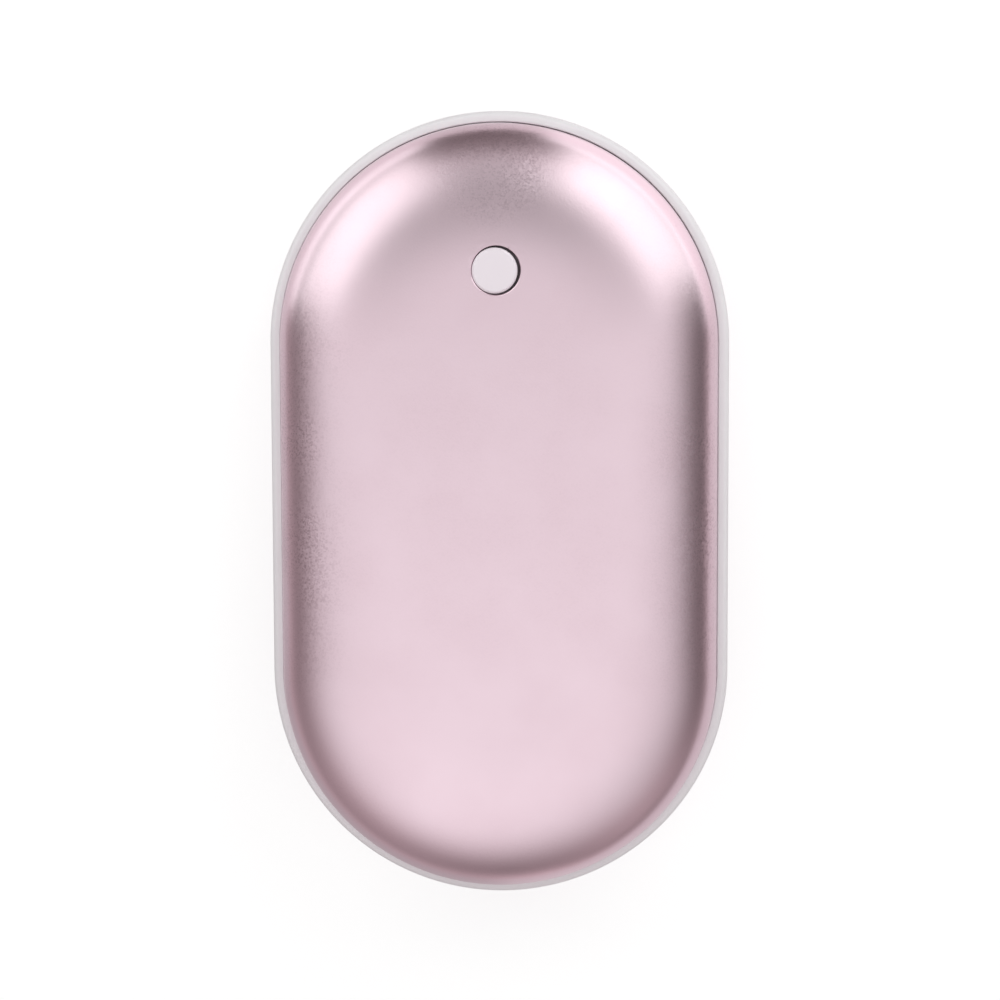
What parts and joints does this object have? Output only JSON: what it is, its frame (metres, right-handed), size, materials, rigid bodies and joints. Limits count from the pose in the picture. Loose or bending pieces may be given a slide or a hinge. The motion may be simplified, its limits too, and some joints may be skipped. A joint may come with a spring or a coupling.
{
  "type": "rechargeable hand warmer",
  "caption": "Pebble-shaped rechargeable hand warmer: satin rose aluminium shells on a white frame, a round push button, and USB sockets in its top end.",
  "frame": {"origin": "middle of the flat in the rear shell that the hand warmer lies on", "axes": "+Z out of the front face with the button, +Y towards the end with the button and the sockets, +X to the right seen from the front"},
  "size_m": [0.06, 0.1027, 0.0272],
  "materials": {
    "rose_aluminium": "fine bead-blasted and rose anodised, satin",
    "white_abs": "moulded, satin white",
    "natural_abs": "moulded, undyed",
    "polyimide_film": "amber film over an etched track",
    "grey_foam": "closed-cell foam, adhesive on both faces",
    "sleeved_cell": "steel can in a shrunk plastic sleeve",
    "nickel": "bare nickel or aluminium can",
    "board_laminate": "green solder mask on glass laminate",
    "plated_steel": "nickel plated",
    "black_resin": "moulded black resin",
    "led_resin": "milky clear resin",
    "red_insulation": "soft red insulation",
    "black_insulation": "soft black insulation"
  },
  "bodies": {
    "housing": {"front_shell": "rose_aluminium", "rear_shell": "rose_aluminium", "mid_frame": "white_abs", "inner_cover": "natural_abs", "switch_body": "black_resin", "front_heater_film": "polyimide_film", "rear_heater_film": "polyimide_film", "front_foam_pad": "grey_foam", "rear_foam_pad": "grey_foam", "cell_left": "sleeved_cell", "cell_right": "sleeved_cell", "positive_strip": "nickel", "negative_strip": "nickel", "circuit_board": "board_laminate", "usb_a_shell": "plated_steel", "usb_a_tongue": "white_abs", "micro_usb_shell": "plated_steel", "micro_usb_tongue": "black_resin", "status_led_left": "led_resin", "status_led_right": "led_resin", "boost_inductor": "black_resin", "charger_chip": "black_resin", "control_chip": "black_resin", "heater_transistor": "black_resin", "charger_capacitor": "nickel", "boost_capacitor": "nickel", "film_thermistor": "black_resin", "battery_lead_negative": "black_insulation", "battery_lead_positive": "red_insulation", "front_heater_lead_1": "red_insulation", "front_heater_lead_2": "black_insulation", "rear_heater_lead_1": "red_insulation", "rear_heater_lead_2": "black_insulation", "board_screw_left": "plated_steel", "board_screw_right": "plated_steel", "cover_screw_1": "plated_steel", "cover_screw_2": "plated_steel", "cover_screw_3": "plated_steel", "cover_screw_4": "plated_steel"},
    "button": {"button_cap": "white_abs"},
    "plunger": {"switch_plunger": "white_abs"}
  },
  "joints": [
    {"name": "button_press", "type": "slide", "parent": "housing", "child": "button", "axis": [0, 0, -1], "range_m": [0, 0.0003], "stiffness_N_per_m": 400, "springref_m": -0.0005},
    {"name": "plunger_press", "type": "slide", "parent": "housing", "child": "plunger", "axis": [0, 0, -1], "range_m": [0, 0.0003]}
  ],
  "couplings": [
    {"joint": "plunger_press", "follows": "button_press", "ratio": 1}
  ]
}
